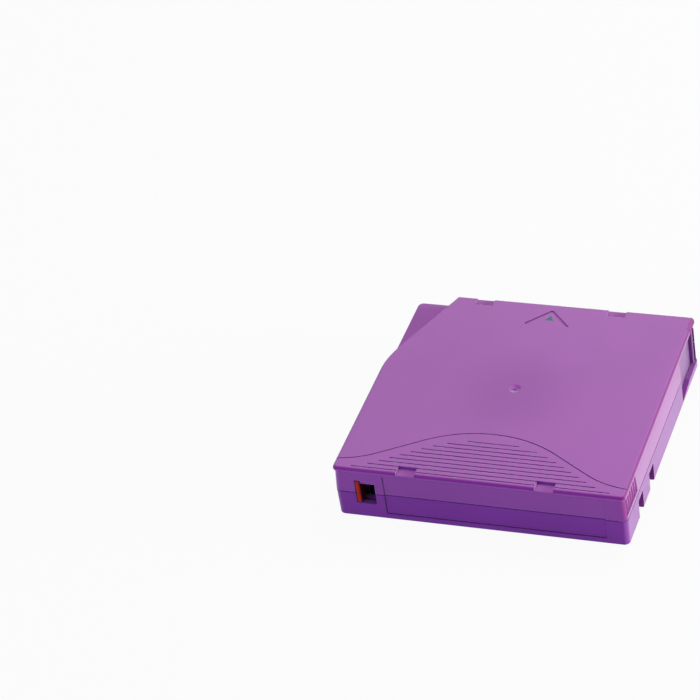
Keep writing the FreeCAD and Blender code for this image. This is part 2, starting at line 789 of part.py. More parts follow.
def reel_hub():
    """Hub, lower flange and drive ring, moulded as one."""
    ring_inner = drive_ring_radius - drive_ring_width / 2
    ring_outer = drive_ring_radius + drive_ring_width / 2
    shoulder = hub_radius - weld_step
    hub = revolved([(0, flange_z), (ring_inner, flange_z), (ring_inner, ring_face), (ring_outer, ring_face),
                    (ring_outer, flange_z), (flange_radius, flange_z),
                    (flange_radius, flange_z + flange_thickness), (hub_radius, flange_z + flange_thickness),
                    (hub_radius, upper_flange_z), (shoulder, upper_flange_z), (shoulder, hub_top),
                    (hub_inner_radius, hub_top), (hub_inner_radius, hub_floor_top), (0, hub_floor_top)])
    stake = cylinder(stake_radius - pilot_clearance, flange_z - plate_thickness, flange_z + 0.1,
                     stake_circle_radius)
    hub = hub.fuse(drive_teeth_solids() + lock_arcs() + [turned(stake, angle) for angle in leg_angles])
    return hub.cut([turned(leg_hole(), angle) for angle in leg_angles]).removeSplitter()


def upper_flange():
    return ring(hub_radius - weld_step + weld_clearance, flange_radius, upper_flange_z, hub_top)


def reel_plate():
    plate = ring(plate_inner_radius, plate_outer_radius, flange_z - plate_thickness, flange_z)
    hole = cylinder(stake_radius, flange_z - plate_thickness - 1, flange_z + 1, stake_circle_radius)
    return plate.cut([turned(hole, angle) for angle in leg_angles])


def tape_pack():
    return ring(hub_radius, tape_radius, tape_z, tape_top)


# --- brake and release plate -----------------------------------------------------------
def brake():
    """Locking disc: teeth below, a slotted boss and a spring seat above."""
    disc = cylinder(brake_radius, brake_face, brake_top)
    pitch = 2 * math.pi * lock_ring_radius / lock_teeth
    tooth = radial_tooth(lock_ring_radius, lock_ring_width, pitch, brake_face, lock_root + lock_mesh_gap)
    step = 360 / lock_teeth
    teeth = [turned(tooth, (index + 0.5) * step) for index in range(lock_teeth)]
    boss = cylinder(brake_boss_radius, brake_top, brake_top + brake_boss_height)
    half = guide_rib_thickness / 2 + guide_rib_clearance
    slot_x = block(-brake_radius, brake_radius, -half, half, brake_top, brake_top + brake_boss_height + 1)
    boss = boss.cut([slot_x, turned(slot_x, 90)])
    seat = ring(spring_seat_radius, spring_seat_radius + spring_seat_wall, brake_top - 0.1,
                brake_top + spring_seat_height)
    return disc.fuse(teeth + [boss, seat]).removeSplitter()


def brake_spring():
    length = ceiling - brake_top - 2 * spring_end_gap - brake_spring_wire
    spring = coil(brake_spring_radius, brake_spring_wire, brake_spring_turns, length,
                  brake_spring_steps, brake_spring_sides)
    spring.translate(point(0, 0, brake_top + spring_end_gap + brake_spring_wire / 2))
    return spring


def release_plate():
    """Three legs on a plate: the drive pushes them up to free the reel."""
    plate = cylinder(release_disc_radius, release_z, release_top)
    boss = cylinder(release_boss_radius, release_top - 0.1, brake_face - brake_gap)
    end = drive_ring_radius + leg_depth / 2
    arm = block(0, end, -leg_width / 2, leg_width / 2, release_z, release_top)
    leg = block(end - leg_depth, end, -leg_width / 2, leg_width / 2, tooth_tip + leg_recess, release_top)
    arms = []
    for angle in leg_angles:
        arms += [turned(arm, angle), turned(leg, angle)]
    return plate.fuse(arms + [boss]).removeSplitter()


# --- door ------------------------------------------------------------------------------
def door():
    outer = door_x + door_thickness
    panel = block(door_x, outer, door_tail_y, door_end_y, door_low, door_high)
    finger = block(outer - 0.2, outer + finger_reach, door_end_y - finger_width, door_end_y,
                   door_mid_z - finger_height / 2, door_mid_z + finger_height / 2)
    edges = [edge for edge in finger.Edges if edge.BoundBox.ZLength > finger_height / 2
             and edge.BoundBox.XMin > outer]
    finger = finger.makeFillet(finger_width * 0.4, edges)
    spigot = Part.makeCylinder(spigot_radius, spigot_length + 0.5,
                               point(door_x + door_thickness / 2, door_tail_y - spigot_length, seam_height),
                               point(0, 1, 0))
    return panel.fuse([finger, spigot]).removeSplitter()


def door_spring():
    length = door_tail_y - spring_post_y - 2 * spring_end_gap - door_spring_wire
    spring = coil(door_spring_radius, door_spring_wire, door_spring_turns, length,
                  door_spring_steps, door_spring_sides)
    spring.rotate(point(0, 0), point(1, 0), -90)
    spring.translate(point(door_x + door_thickness / 2,
                           spring_post_y + spring_end_gap + door_spring_wire / 2, seam_height))
    return spring


# --- leader pin, its clip, its spring and the tape it holds ----------------------------
def leader_pin():
    rod = cylinder(pin_rod_radius, pin_z, pin_top, pin_x, pin_y)
    heads = [cylinder(pin_head_radius, pin_z, pin_z + pin_head_thickness, pin_x, pin_y),
             cylinder(pin_head_radius, pin_top - pin_head_thickness, pin_top, pin_x, pin_y)]
    return rod.fuse(heads).removeSplitter()


def leader_clip():
    return ring_sector(clip_inner_radius, clip_inner_radius + clip_wall, clip_gap_angle + clip_gap_sweep,
                       360 - clip_gap_sweep, tape_z, tape_top, pin_x, pin_y)


def tape_leader():
    """From the pack's edge to the pin, then part of the way round it."""
    pack_radius = tape_radius + leader_pack_gap
    wrap_radius = pin_rod_radius + leader_thickness
    distance = math.hypot(pin_x, pin_y)
    lean = math.acos((pack_radius + wrap_radius) / distance)
    angle = math.atan2(pin_y, pin_x) + lean
    outward = point(math.cos(angle), math.sin(angle))
    start = outward * pack_radius
    end = point(pin_x, pin_y) - outward * wrap_radius
    lift = point(0, 0, tape_z)
    width = point(0, 0, tape_width)
    corners = [start + lift, end + lift, end + outward * leader_thickness + lift,
               start + outward * leader_thickness + lift]
    strip = prism(corners, width)
    wrap = ring_sector(pin_rod_radius, wrap_radius, math.degrees(angle) + 180, leader_wrap_angle,
                       tape_z, tape_top, pin_x, pin_y)
    return strip.fuse(wrap).removeSplitter()


def pin_spring():
    """Leaf spring: a plate on the end wall, with two fingers against the pin's heads."""
    plate_end = leaf_start_x + leaf_plate_width
    plate = block(leaf_start_x, plate_end, inner_y - leaf_thickness, inner_y,
                  floor_thickness + 0.3, ceiling - 0.3)
    bend_x = pin_x + leaf_bend_offset
    hook_x = bend_x + leaf_bend_radius
    bend_y = inner_y - leaf_bend_radius
    touch_x = hook_x - leaf_thickness - pin_x
    touch_y = pin_y + math.sqrt(pin_head_radius ** 2 - touch_x ** 2)
    fingers = []
    for middle in (pin_z + pin_head_thickness / 2, pin_top - pin_head_thickness / 2):
        low, high = middle - leaf_finger_width / 2, middle + leaf_finger_width / 2
        arm = block(plate_end - 0.5, bend_x, inner_y - leaf_thickness, inner_y, low, high)
        bend = ring_sector(leaf_bend_radius - leaf_thickness, leaf_bend_radius, 0, 90, low, high,
                           bend_x, bend_y)
        drop = block(hook_x - leaf_thickness, hook_x, touch_y, bend_y, low, high)
        fingers += [arm, bend, drop]
    return plate.fuse(fingers).removeSplitter()


# --- write-protect slider and memory board ---------------------------------------------
def write_protect_slider():
    back = -inner_y + tab_clearance + slider_thickness
    front = -inner_y + tab_clearance
    tab_right = slider_x + tab_width
    plate = block(slider_x - slider_overlap, tab_right, front, back, slider_low, slider_high)
    hole_top = window_low_z + window_hole_height - tab_clearance
    neck = block(slider_x, tab_right, -half_depth + window_recess_depth + 0.1, front + 0.1,
                 window_low_z + tab_clearance, hole_top)
    nose = block(slider_x, tab_right, -half_depth + tab_setback, -half_depth + window_recess_depth - 0.1,
                 window_low_z + tab_clearance, window_low_z + window_height - tab_clearance)
    link = block(slider_x, tab_right, -half_depth + 0.4, -half_depth + window_recess_depth + 0.2,
                 window_low_z + tab_clearance, hole_top)
    edges = [edge for edge in nose.Edges if edge.BoundBox.ZLength > tab_width
             and edge.BoundBox.YMax < -half_depth + 0.3]
    nose = nose.makeFillet(tab_round, edges)
    return plate.fuse([neck, link, nose]).removeSplitter()


def tilted(shape):
    """Lays a flat piece on the 45-degree supports in the corner."""
    copy = shape.copy()
    copy.rotate(point(0, 0), point(1, 0), -45)
    copy.translate(point(board_start_x, -inner_y + board_end_gap, board_foot_z - board_end_gap))
    return copy


def memory_board():
    return tilted(block(0, board_length, 0, board_width, 0, board_thickness))


def memory_chip():
    middle_x, middle_y = board_length / 2, board_width / 2
    chip = block(middle_x - chip_size / 2, middle_x + chip_size / 2, middle_y - chip_size / 2,
                 middle_y + chip_size / 2, board_thickness, board_thickness + chip_thickness)
    return tilted(chip)


# --- screws ----------------------------------------------------------------------------
def screw_head(x, y, clearance):
    """The countersunk head, or with a clearance the cone of the seat it lies in."""
    return Part.makeCone(screw_head_radius + clearance, screw_radius + clearance, screw_head_height,
                         point(x, y, screw_recess))


def case_screws():
    screws = []
    for x, y in screw_places:
        shank = cylinder(screw_radius, screw_recess, screw_recess + screw_length, x, y)
        screw = screw_head(x, y, 0).fuse(shank)
        arm = block(x - 1.4, x + 1.4, y - 0.25, y + 0.25, 0, screw_recess + 0.7)
        screws.append(screw.cut([arm, turned(arm, 90, x, y)]).removeSplitter())
    return Part.makeCompound(screws)


pieces = {
    "lower_case": lower_case,
    "upper_case": upper_case,
    "case_screws": case_screws,
    "reel_hub": reel_hub,
    "upper_flange": upper_flange,
    "reel_plate": reel_plate,
    "tape_pack": tape_pack,
    "tape_leader": tape_leader,
    "leader_pin": leader_pin,
    "leader_clip": leader_clip,
    "pin_spring": pin_spring,
    "door": door,
    "door_spring": door_spring,
    "brake": brake,
    "brake_spring": brake_spring,
    "release_plate": release_plate,
    "write_protect_slider": write_protect_slider,
    "memory_board": memory_board,
    "memory_chip": memory_chip,
}

os.makedirs("parts", exist_ok=True)
for name, make in pieces.items():
    shape = make()
    shape.exportStep("parts/" + name + ".step")
    box = shape.BoundBox
    print(name, "solids", len(shape.Solids), "valid", shape.isValid(), "volume", round(shape.Volume, 2),
          "X", round(box.XMin, 2), round(box.XMax, 2), "Y", round(box.YMin, 2), round(box.YMax, 2),
          "Z", round(box.ZMin, 2), round(box.ZMax, 2))
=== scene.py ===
# %% [markdown]
# # Dressing a data tape cartridge
#
# The cartridge is a flat purple case of two moulded shells. It holds one reel of tape, a brake
# that locks the reel, a small steel pin on the end of the tape, and a sprung door that the pin
# leaves through. The CAD model already has every one of these pieces at its real size.
#
# This lesson gives the pieces their finishes, rewinds the two coil springs as smooth wire, adds
# the small print on the lid, and sets up the camera and the lights.

import json
import math

import bmesh
import bpy
from mathutils import Matrix, Vector


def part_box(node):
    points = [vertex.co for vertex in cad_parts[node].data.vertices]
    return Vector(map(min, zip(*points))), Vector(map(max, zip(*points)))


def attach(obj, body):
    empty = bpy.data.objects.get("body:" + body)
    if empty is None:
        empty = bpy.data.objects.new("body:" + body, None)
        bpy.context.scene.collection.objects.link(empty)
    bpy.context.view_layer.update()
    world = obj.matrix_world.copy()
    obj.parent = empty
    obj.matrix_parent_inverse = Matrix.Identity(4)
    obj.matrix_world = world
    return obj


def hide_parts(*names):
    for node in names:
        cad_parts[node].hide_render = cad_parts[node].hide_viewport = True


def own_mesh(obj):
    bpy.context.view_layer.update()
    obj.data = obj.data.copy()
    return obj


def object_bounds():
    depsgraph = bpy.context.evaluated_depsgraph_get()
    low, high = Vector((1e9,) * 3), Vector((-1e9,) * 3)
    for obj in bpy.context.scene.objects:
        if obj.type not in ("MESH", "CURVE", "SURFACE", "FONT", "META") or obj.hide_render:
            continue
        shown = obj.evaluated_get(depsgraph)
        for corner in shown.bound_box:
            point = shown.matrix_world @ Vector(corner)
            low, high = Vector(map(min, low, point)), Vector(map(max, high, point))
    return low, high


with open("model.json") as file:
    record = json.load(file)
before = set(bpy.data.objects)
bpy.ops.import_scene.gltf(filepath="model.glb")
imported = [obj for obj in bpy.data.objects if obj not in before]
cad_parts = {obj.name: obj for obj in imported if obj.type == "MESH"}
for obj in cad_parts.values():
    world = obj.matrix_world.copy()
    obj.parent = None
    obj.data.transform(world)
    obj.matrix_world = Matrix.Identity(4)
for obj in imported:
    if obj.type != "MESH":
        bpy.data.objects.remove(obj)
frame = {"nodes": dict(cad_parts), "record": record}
cad_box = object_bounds()
nodes = frame["nodes"]
MM = 0.001

# %% [markdown]
# ## Three helpers
#
# Much of what follows adds an object to the scene or a node to a shader tree. One function for
# each keeps the later cells short enough to read as recipes.

# %% Add an object, a mesh or a shader node
def add_object(name, data):
    thing = bpy.data.objects.new(name, data)
    bpy.context.scene.collection.objects.link(thing)
    return thing


def add_mesh(name, shape):
    """Turns a bmesh into an object of the same name."""
    mesh = bpy.data.meshes.new(name)
    shape.to_mesh(mesh)
    shape.free()
    return add_object(name, mesh)


def add_node(tree, kind, inputs=None, **settings):
    """A shader node with settings, whose inputs are each linked to a socket or given a value."""
    node = tree.nodes.new("ShaderNode" + kind)
    for name, value in settings.items():
        setattr(node, name, value)
    for name, value in (inputs or {}).items():
        if isinstance(value, bpy.types.NodeSocket):
            tree.links.new(value, node.inputs[name])
        else:
            node.inputs[name].default_value = value
    return node


print("helpers ready")

# %% [markdown]
# ## The camera
#
# A long lens far from the object keeps its edges almost parallel, as a catalogue shows it. A
# camera can be dragged into place in the viewport, but then nobody can say later where it stands.
# Here it is placed by the way it looks: an azimuth round the object, an elevation above the
# floor, a small roll, and a distance. The aim point lies beside the case, so the case sits low
# and to the right in the frame. Building the rotation from three axes avoids guessing angles.

# %% The camera's three axes
azimuth = math.radians(-24.0)
elevation = math.radians(36.95)
roll = math.radians(-9.5)

forward = Vector((math.sin(azimuth) * math.cos(elevation), math.cos(azimuth) * math.cos(elevation),
                  -math.sin(elevation)))
level = Vector((math.cos(azimuth), -math.sin(azimuth), 0))
above = level.cross(forward)
right = level * math.cos(roll) + above * math.sin(roll)
up = above * math.cos(roll) - level * math.sin(roll)
print("camera looks along", [round(c, 3) for c in forward])

# %% The camera
distance = 1.156
aim_right = -60.3 * MM
aim_up = 22.8 * MM

low, high = (Vector(corner) for corner in cad_box)
middle = (low + high) / 2
eye = middle - forward * distance + right * aim_right + up * aim_up
camera = add_object("camera", bpy.data.cameras.new("camera"))
camera.data.lens = 166.95
camera.data.sensor_width = 36
camera.matrix_world = Matrix.Translation(eye) @ Matrix((right, up, -forward)).transposed().to_4x4()
bpy.context.scene.camera = camera
print("camera at", [round(c, 3) for c in eye])

# %% [markdown]
# ## A white studio
#
# The cartridge lies on a pale floor that runs out to white. A world bright enough to look white
# would also flood the case with light and wash the purple out. So the camera, reflections and
# see-through rays find a white world of strength 1, while the light that it throws on the plastic
# is weaker. The Light Path node tells these kinds of ray apart.

# %% Rays that should see plain white
def sees_white(tree):
    """One where a ray comes from the camera, a reflection or a clear material, else nought."""
    path = add_node(tree, "LightPath").outputs
    seen = path["Is Camera Ray"]
    for kind in ("Is Glossy Ray", "Is Transmission Ray"):
        seen = add_node(tree, "Math", {0: seen, 1: path[kind]}, operation="MAXIMUM").outputs[0]
    return seen


light_on_object = 0.25
world = bpy.data.worlds.new("studio")
world.use_nodes = True
bpy.context.scene.world = world
sky = world.node_tree
strength = add_node(sky, "MapRange", {"Value": sees_white(sky), "To Min": light_on_object,
                                      "To Max": 1.0})
sky.links.new(strength.outputs["Result"], sky.nodes["Background"].inputs["Strength"])
sky.nodes["Background"].inputs["Color"].default_value = (1, 1, 1, 1)
print("world light on the plastic:", light_on_object)

# %% [markdown]
# The floor is a wide plane, made pale by an ordinary diffuse shader. Lamps strong enough to turn
# it white would be too strong for the case, so most of what the camera sees of it is a white glow.
# The rest is the diffuse shader, which keeps a soft shadow under the case. The floor lies a hair
# below the case's base, so that the two surfaces never share one plane.

# %% The floor
floor_gap = 0.05 * MM
glow_share = 0.94

sheet = bmesh.new()
bmesh.ops.create_grid(sheet, x_segments=1, y_segments=1, size=3.0)
floor = add_mesh("floor", sheet)
floor.location.z = -floor_gap

floor_paint = bpy.data.materials.new("floor_paint")
floor_paint.use_nodes = True
tree = floor_paint.node_tree
tree.nodes.remove(tree.nodes["Principled BSDF"])
share = add_node(tree, "MapRange", {"Value": sees_white(tree), "To Max": glow_share})
matt = add_node(tree, "BsdfDiffuse", {"Color": (0.62, 0.62, 0.64, 1)})
glow = add_node(tree, "Emission")
mixed = add_node(tree, "MixShader", {"Fac": share.outputs["Result"], 1: matt.outputs["BSDF"],
                                     2: glow.outputs["Emission"]})
tree.links.new(mixed.outputs["Shader"], tree.nodes["Material Output"].inputs["Surface"])
floor.data.materials.append(floor_paint)
print("floor glow share:", glow_share)

# %% [markdown]
# ## Lamps
#
# A small lamp throws hard shadows and burns small highlights into plastic. Three large discs give
# an even, tented light: one above lights the lid, a blue one in front cools the label end, and a
# strong one low at the right grazes the wall with the door. Each is aimed by turning its -Z axis
# at the case.

# %% A soft lamp aimed at the case
def soft_lamp(name, place, width, watts, colour):
    lamp = bpy.data.lights.new(name, "AREA")
    lamp.shape = "DISK"
    lamp.size = width
    lamp.energy = watts
    lamp.color = colour
    thing = add_object(name, lamp)
    thing.location = place
    thing.rotation_euler = (middle - Vector(place)).to_track_quat("-Z", "Y").to_euler()
    print(name, "at", place, "with", watts, "W")


soft_lamp("lamp_above", (0.15, 0.55, 0.90), 0.8, 5.5, (1.0, 0.95, 0.92))
soft_lamp("lamp_front", (-0.35, -0.95, 0.55), 0.7, 5.4, (0.37, 0.37, 1.0))
soft_lamp("lamp_right", (1.0, 0.15, 0.14), 0.4, 14.0, (0.96, 1.0, 0.98))

# %% [markdown]
# ## A kit for the finishes
#
# Every finish starts from the Principled shader. Its textures could be laid out on unwrapped
# faces, but Object coordinates are metres on the real part, so a grain is given by its true size
# and nothing needs unwrapping. Noise is the raw material for all that follows.

# %% A new finish and its noise
def new_finish(name, roughness, metallic=0.0):
    finish = bpy.data.materials.new(name)
    finish.use_nodes = True
    shader = finish.node_tree.nodes["Principled BSDF"]
    shader.inputs["Roughness"].default_value = roughness
    shader.inputs["Metallic"].default_value = metallic
    return finish, finish.node_tree, shader


def on_object(tree):
    return add_node(tree, "TexCoord").outputs["Object"]


def cloud(tree, size_mm, detail=3.0, stretch=(1, 1, 1)):
    """Noise whose blobs are about size_mm across, stretched along the axes."""
    squeezed = add_node(tree, "Mapping", {"Vector": on_object(tree), "Scale": stretch})
    noise = add_node(tree, "TexNoise", {"Vector": squeezed.outputs["Vector"],
                                        "Scale": 1 / (size_mm * MM), "Detail": detail})
    return noise.outputs["Fac"]


finishes = {}
print("noise ready")

# %% [markdown]
# Three helpers turn noise into what moulded and turned pieces show close up: a blend of two
# nearby colours, a roughness that wanders, and a fine surface grain. The grain also rounds the
# edges a little, since no real edge is perfectly sharp and a rounded one catches the light.

# %% Blends, wear and grain
def ramp(tree, factor, stops):
    """Colours along factor, where each stop is a position and a colour."""
    node = add_node(tree, "ValToRGB", {"Fac": factor})
    elements = node.color_ramp.elements
    while len(elements) < len(stops):
        elements.new(0.5)
    for element, (position, colour) in zip(elements, stops):
        element.position = position
        element.color = (*colour, 1)
    return node.outputs["Color"]


# noise keeps mostly to this middle range, so the blends spread over it
NOISE_LOW, NOISE_HIGH = 0.3, 0.7


def between(tree, factor, first, second):
    """A colour that wanders from first to second with a noise."""
    return ramp(tree, factor, ((NOISE_LOW, first), (NOISE_HIGH, second)))


def wear(tree, shader, factor, low_rough, high_rough):
    """Roughness that wanders with a noise."""
    spread = add_node(tree, "MapRange", {"Value": factor, "From Min": NOISE_LOW,
                                         "From Max": NOISE_HIGH, "To Min": low_rough,
                                         "To Max": high_rough})
    tree.links.new(spread.outputs["Result"], shader.inputs["Roughness"])


def grain(tree, shader, height, depth_mm, edge_mm=0.0):
    """Raises the surface by height times depth, over edges rounded by edge_mm."""
    bump = add_node(tree, "Bump", {"Distance": depth_mm * MM, "Height": height})
    if edge_mm:
        edge = add_node(tree, "Bevel", {"Radius": edge_mm * MM}, samples=4)
        tree.links.new(edge.outputs["Normal"], bump.inputs["Normal"])
    tree.links.new(bump.outputs["Normal"], shader.inputs["Normal"])


print("noise is blended from", NOISE_LOW, "to", NOISE_HIGH)

# %% [markdown]
# ## Masks
#
# On a moulded part the eye finds the grooves and the rounded edges first, because they lie in shade
# and look a little darker and fuller in colour. Here that shade is painted into the colour. It
# could be painted by hand, but a mask that finds these places by itself still fits when the shape
# changes. A mask is a value from nought to one that says where a tint goes. An Ambient Occlusion
# node finds the places that are shut in, such as the floors of grooves, which get painted shade.
# The surface's own normal finds the rounded rim between the lid and the walls, and the faces turned
# towards the door side, which get painted shade too.

# %% Masks that follow the surface
def mask(tree, factor, stops):
    """A grey ramp, where each stop is a position and a value."""
    return ramp(tree, factor, [(position, (value,) * 3) for position, value in stops])


def shut_in(tree, reach_mm):
    """Nought in the open, rising to one deep in a hollow of the piece, where painted shade goes."""
    hollow = add_node(tree, "AmbientOcclusion", {"Distance": reach_mm * MM}, samples=8,
                      only_local=True)
    return mask(tree, hollow.outputs["AO"], ((0.30, 1), (0.70, 0)))


def turned_faces(tree):
    """Two masks: where the surface faces out and up, and where it faces aslant on the door side."""
    surface = add_node(tree, "NewGeometry")
    normal = add_node(tree, "SeparateXYZ", {"Vector": surface.outputs["Normal"]}).outputs
    rim = mask(tree, normal["Z"], ((0.08, 0), (0.20, 1), (0.80, 1), (0.97, 0)))
    aslant = mask(tree, normal["X"], ((0.15, 0), (0.35, 1), (0.90, 1), (0.98, 0)))
    return rim, aslant


print("surface masks ready")

# %% [markdown]
# Other masks go by the position on the part: a soft egg round a centre, or everything past a line.
# Each mask then lays one tint over the colour so far.

# %% Masks that go by position, and tints
def near(tree, centre_mm, reach_mm, core):
    """One near a centre, falling softly to nought at a reach along each axis."""
    shift = add_node(tree, "VectorMath", {0: on_object(tree), 1: [c * MM for c in centre_mm]},
                     operation="SUBTRACT")
    squash = add_node(tree, "VectorMath",
                      {0: shift.outputs["Vector"], 1: [1 / (r * MM) for r in reach_mm]},
                      operation="MULTIPLY")
    far = add_node(tree, "VectorMath", {0: squash.outputs["Vector"]}, operation="LENGTH")
    fade = add_node(tree, "MapRange", {"Value": far.outputs["Value"], "From Min": 1.0,
                                       "From Max": core}, interpolation_type="SMOOTHSTEP")
    return fade.outputs["Result"]


def past(tree, direction, start_mm, end_mm):
    """Nought before start along a direction, rising to one at end."""
    dot = add_node(tree, "VectorMath", {0: on_object(tree), 1: direction}, operation="DOT_PRODUCT")
    rise = add_node(tree, "MapRange", {"Value": dot.outputs["Value"], "From Min": start_mm * MM,
                                       "From Max": end_mm * MM})
    return rise.outputs["Result"]


def product(tree, first, second):
    return add_node(tree, "Math", {0: first, 1: second}, operation="MULTIPLY").outputs["Value"]


def tinted(tree, where, plain, tint, strength):
    """The plain colour with the tint laid over it, by the mask times the strength."""
    share = add_node(tree, "MapRange", {"Value": where, "To Max": strength})
    mix = add_node(tree, "Mix", {"Factor": share.outputs["Result"], "A": plain, "B": (*tint, 1)},
                   data_type="RGBA")
    return mix.outputs["Result"]


print("position masks ready")

# %% [markdown]
# ## Moulded plastic
#
# All the plastics share one recipe. A broad cloudy blend keeps a large face from looking flat,
# painted shade darkens the grooves and other hollows, and a fine grain stands for the spark-eroded
# mould. Matt plastic turns pale where light grazes it. A clear coat would do that too, but with a
# shine that moulded plastic hasn't got, so sheen does it, which is weak face on and strong at a
# grazing angle. Glaze is the colour of the mirror-like part of the light. A piece with more to it,
# such as the lid with its rim, hands in a paint function that lays its own tints, painted shade as
# well, before the painted shade of the hollows.

# %% The recipe for moulded plastic
def moulded(name, first, second, cloud_mm, grain_mm, rough, sheen, hollow_shade=(0.01, 0.01, 0.01),
            reach_mm=0.9, glaze=(1, 1, 1), paint=None):
    finish, tree, shader = new_finish(name, rough)
    shader.inputs["IOR"].default_value = 1.65
    shader.inputs["Specular Tint"].default_value = (*glaze, 1)
    shader.inputs["Sheen Weight"].default_value = sheen
    shader.inputs["Sheen Roughness"].default_value = 0.46
    colour = between(tree, cloud(tree, cloud_mm), first, second)
    if paint:
        colour = paint(tree, colour)
    # Painted shade: the hollows of the piece are darkened towards the hollow colour, where shade
    # would fall.
    colour = tinted(tree, shut_in(tree, reach_mm), colour, hollow_shade, 0.9)
    tree.links.new(colour, shader.inputs["Base Color"])
    wear(tree, shader, cloud(tree, cloud_mm / 4), rough - 0.02, rough + 0.03)
    grain(tree, shader, cloud(tree, grain_mm, 2.0), 0.012, 0.18)
    finishes[name] = finish
    print(name, "with sheen", sheen)


# %% [markdown]
# ## The purple case
#
# Both shells are moulded in one purple plastic. The lower one gets a finish of its own in a deeper
# colour, which is painted shade for the lower half of the case, nearer the floor. The lid is darker
# round its middle, painted shade where it reflects less light, and its rounded rim and the faces
# turned towards the door side get painted shade in a deep magenta. Hardly any light gets into the
# small window at the front left. The soft lamps alone would leave it too bright inside, so the
# lower shell is painted near black there.

# %% The two shells and the door
purple_glaze = (0.70, 0.15, 1.0)
# painted shade colour for the hollows
hollow_shade_purple = (0.15, 0.0, 0.19)
# painted shade colour round the middle of the lid
lid_middle_shade = (0.245, 0.022, 0.25)
# painted shade colour for the rounded rim and the faces turned to the door side
painted_shade_magenta = (0.32, 0.0, 0.25)
near_black = (0.008, 0.002, 0.002)


def darkened(colour, share):
    return [c * share for c in colour]


def paint_lid_shade(tree, colour):
    rim, aslant = turned_faces(tree)
    # Painted shade: the lid is darker round its middle, where it reflects less light.
    gate = near(tree, centre_mm=(0, 0, 21), reach_mm=(30, 30, 30), core=0.08)
    colour = tinted(tree, gate, colour, lid_middle_shade, 0.85)
    # Painted shade: faces turned aslant to the door side and the rounded rim take a deep magenta,
    # and the rim on the door side the deepest.
    colour = tinted(tree, aslant, colour, darkened(painted_shade_magenta, 0.7), 0.8)
    colour = tinted(tree, rim, colour, darkened(painted_shade_magenta, 0.62), 0.85)
    return tinted(tree, product(tree, rim, aslant), colour, darkened(painted_shade_magenta, 0.5), 0.95)


def dark_window(tree, colour):
    window = near(tree, centre_mm=(-41.5, -44.2, 10.5), reach_mm=(9, 6.2, 9), core=0.9)
    return tinted(tree, window, colour, near_black, 0.97)


moulded("case_plastic", (0.285, 0.048, 0.290), (0.315, 0.056, 0.320), 30, 0.45, 0.42, 0.95,
        hollow_shade=hollow_shade_purple, reach_mm=2.2, glaze=purple_glaze, paint=paint_lid_shade)
# Painted shade: the lower shell's colours are deeper than the lid's, for the darker lower half of
# the case.
moulded("lower_case_plastic", (0.190, 0.007, 0.255), (0.215, 0.011, 0.280), 30, 0.45, 0.42, 0.8,
        hollow_shade=darkened(painted_shade_magenta, 0.6), reach_mm=12.0, glaze=purple_glaze, paint=dark_window)
# Painted shade: the door's colours are darker than the lid's, for its place recessed under the
# lid's lip.
moulded("door_plastic", (0.16, 0.03, 0.21), (0.18, 0.04, 0.24), 20, 0.4, 0.38, 0.8,
        hollow_shade=hollow_shade_purple, glaze=purple_glaze)
print("finishes so far:", len(finishes))

# %% [markdown]
# ## The write-protect slider
#
# The slider is orange-red, the one warm colour on the case, so that a hand finds it. Its tab
# stands in the window at the front left, and the light falls off quickly along it to the right
# and to the back. A dark red that begins just past the tab's front left edge says the same.

# %% The slider
dark_red = (0.085, 0.004, 0.003)
slope = (0.75, 0.65, 0)
fall_start_mm, fall_end_mm = -66.3, -65.5


def dark_past_the_tab(tree, colour):
    return tinted(tree, past(tree, slope, fall_start_mm, fall_end_mm), colour, dark_red, 0.97)


moulded("slider_plastic", (0.52, 0.006, 0.003), (0.60, 0.009, 0.005), 4, 0.3, 0.35, 0.0,
        hollow_shade=dark_red, glaze=(1, 0.15, 0.1), paint=dark_past_the_tab)
print("finishes so far:", len(finishes))

# %% [markdown]
# ## The reel, the brake and the small plastics
#
# Inside, the reel is a cool grey plastic and its welded top flange is smoother. The brake and the
# three-legged release plate are a harder, creamier plastic. The pin's clip and the memory chip are
# black. They need no masks of their own, so the recipe with other numbers does for all of them.

# %% Reel, brake and small plastics
moulded("reel_plastic", (0.60, 0.60, 0.59), (0.66, 0.66, 0.65), 15, 0.4, 0.40, 0.2)
moulded("flange_plastic", (0.54, 0.55, 0.56), (0.58, 0.59, 0.60), 25, 0.5, 0.22, 0.6)
moulded("brake_plastic", (0.76, 0.75, 0.70), (0.82, 0.81, 0.76), 8, 0.3, 0.42, 0.2)
moulded("release_plastic", (0.80, 0.79, 0.74), (0.86, 0.85, 0.80), 8, 0.3, 0.42, 0.2)
moulded("clip_plastic", (0.012, 0.012, 0.013), (0.02, 0.02, 0.022), 3, 0.2, 0.38, 0.2)
moulded("chip", (0.018, 0.018, 0.02), (0.03, 0.03, 0.032), 1.5, 0.12, 0.5, 0.0)
print("finishes so far:", len(finishes))

# %% [markdown]
# ## Tape
#
# A wound pack shows its hundreds of layers edge on as faint rings. Modelling each layer would take
# millions of faces for something that only shimmers. A wave texture in rings about the reel's axis
# does it in the roughness and in a very shallow bump, and the colour stays a smooth brown-black.

# %% Tape
rings_scale = 900
finish, tree, shader = new_finish("tape", 0.25)
layers = add_node(tree, "TexWave", {"Vector": on_object(tree), "Scale": rings_scale,
                                    "Distortion": 1.5}, wave_type="RINGS", rings_direction="Z")
brown_black = between(tree, cloud(tree, 6), (0.020, 0.015, 0.012), (0.030, 0.023, 0.018))
tree.links.new(brown_black, shader.inputs["Base Color"])
wear(tree, shader, layers.outputs["Fac"], 0.20, 0.34)
grain(tree, shader, layers.outputs["Fac"], 0.01)
finishes["tape"] = finish
print("scale of the tape's rings:", rings_scale)

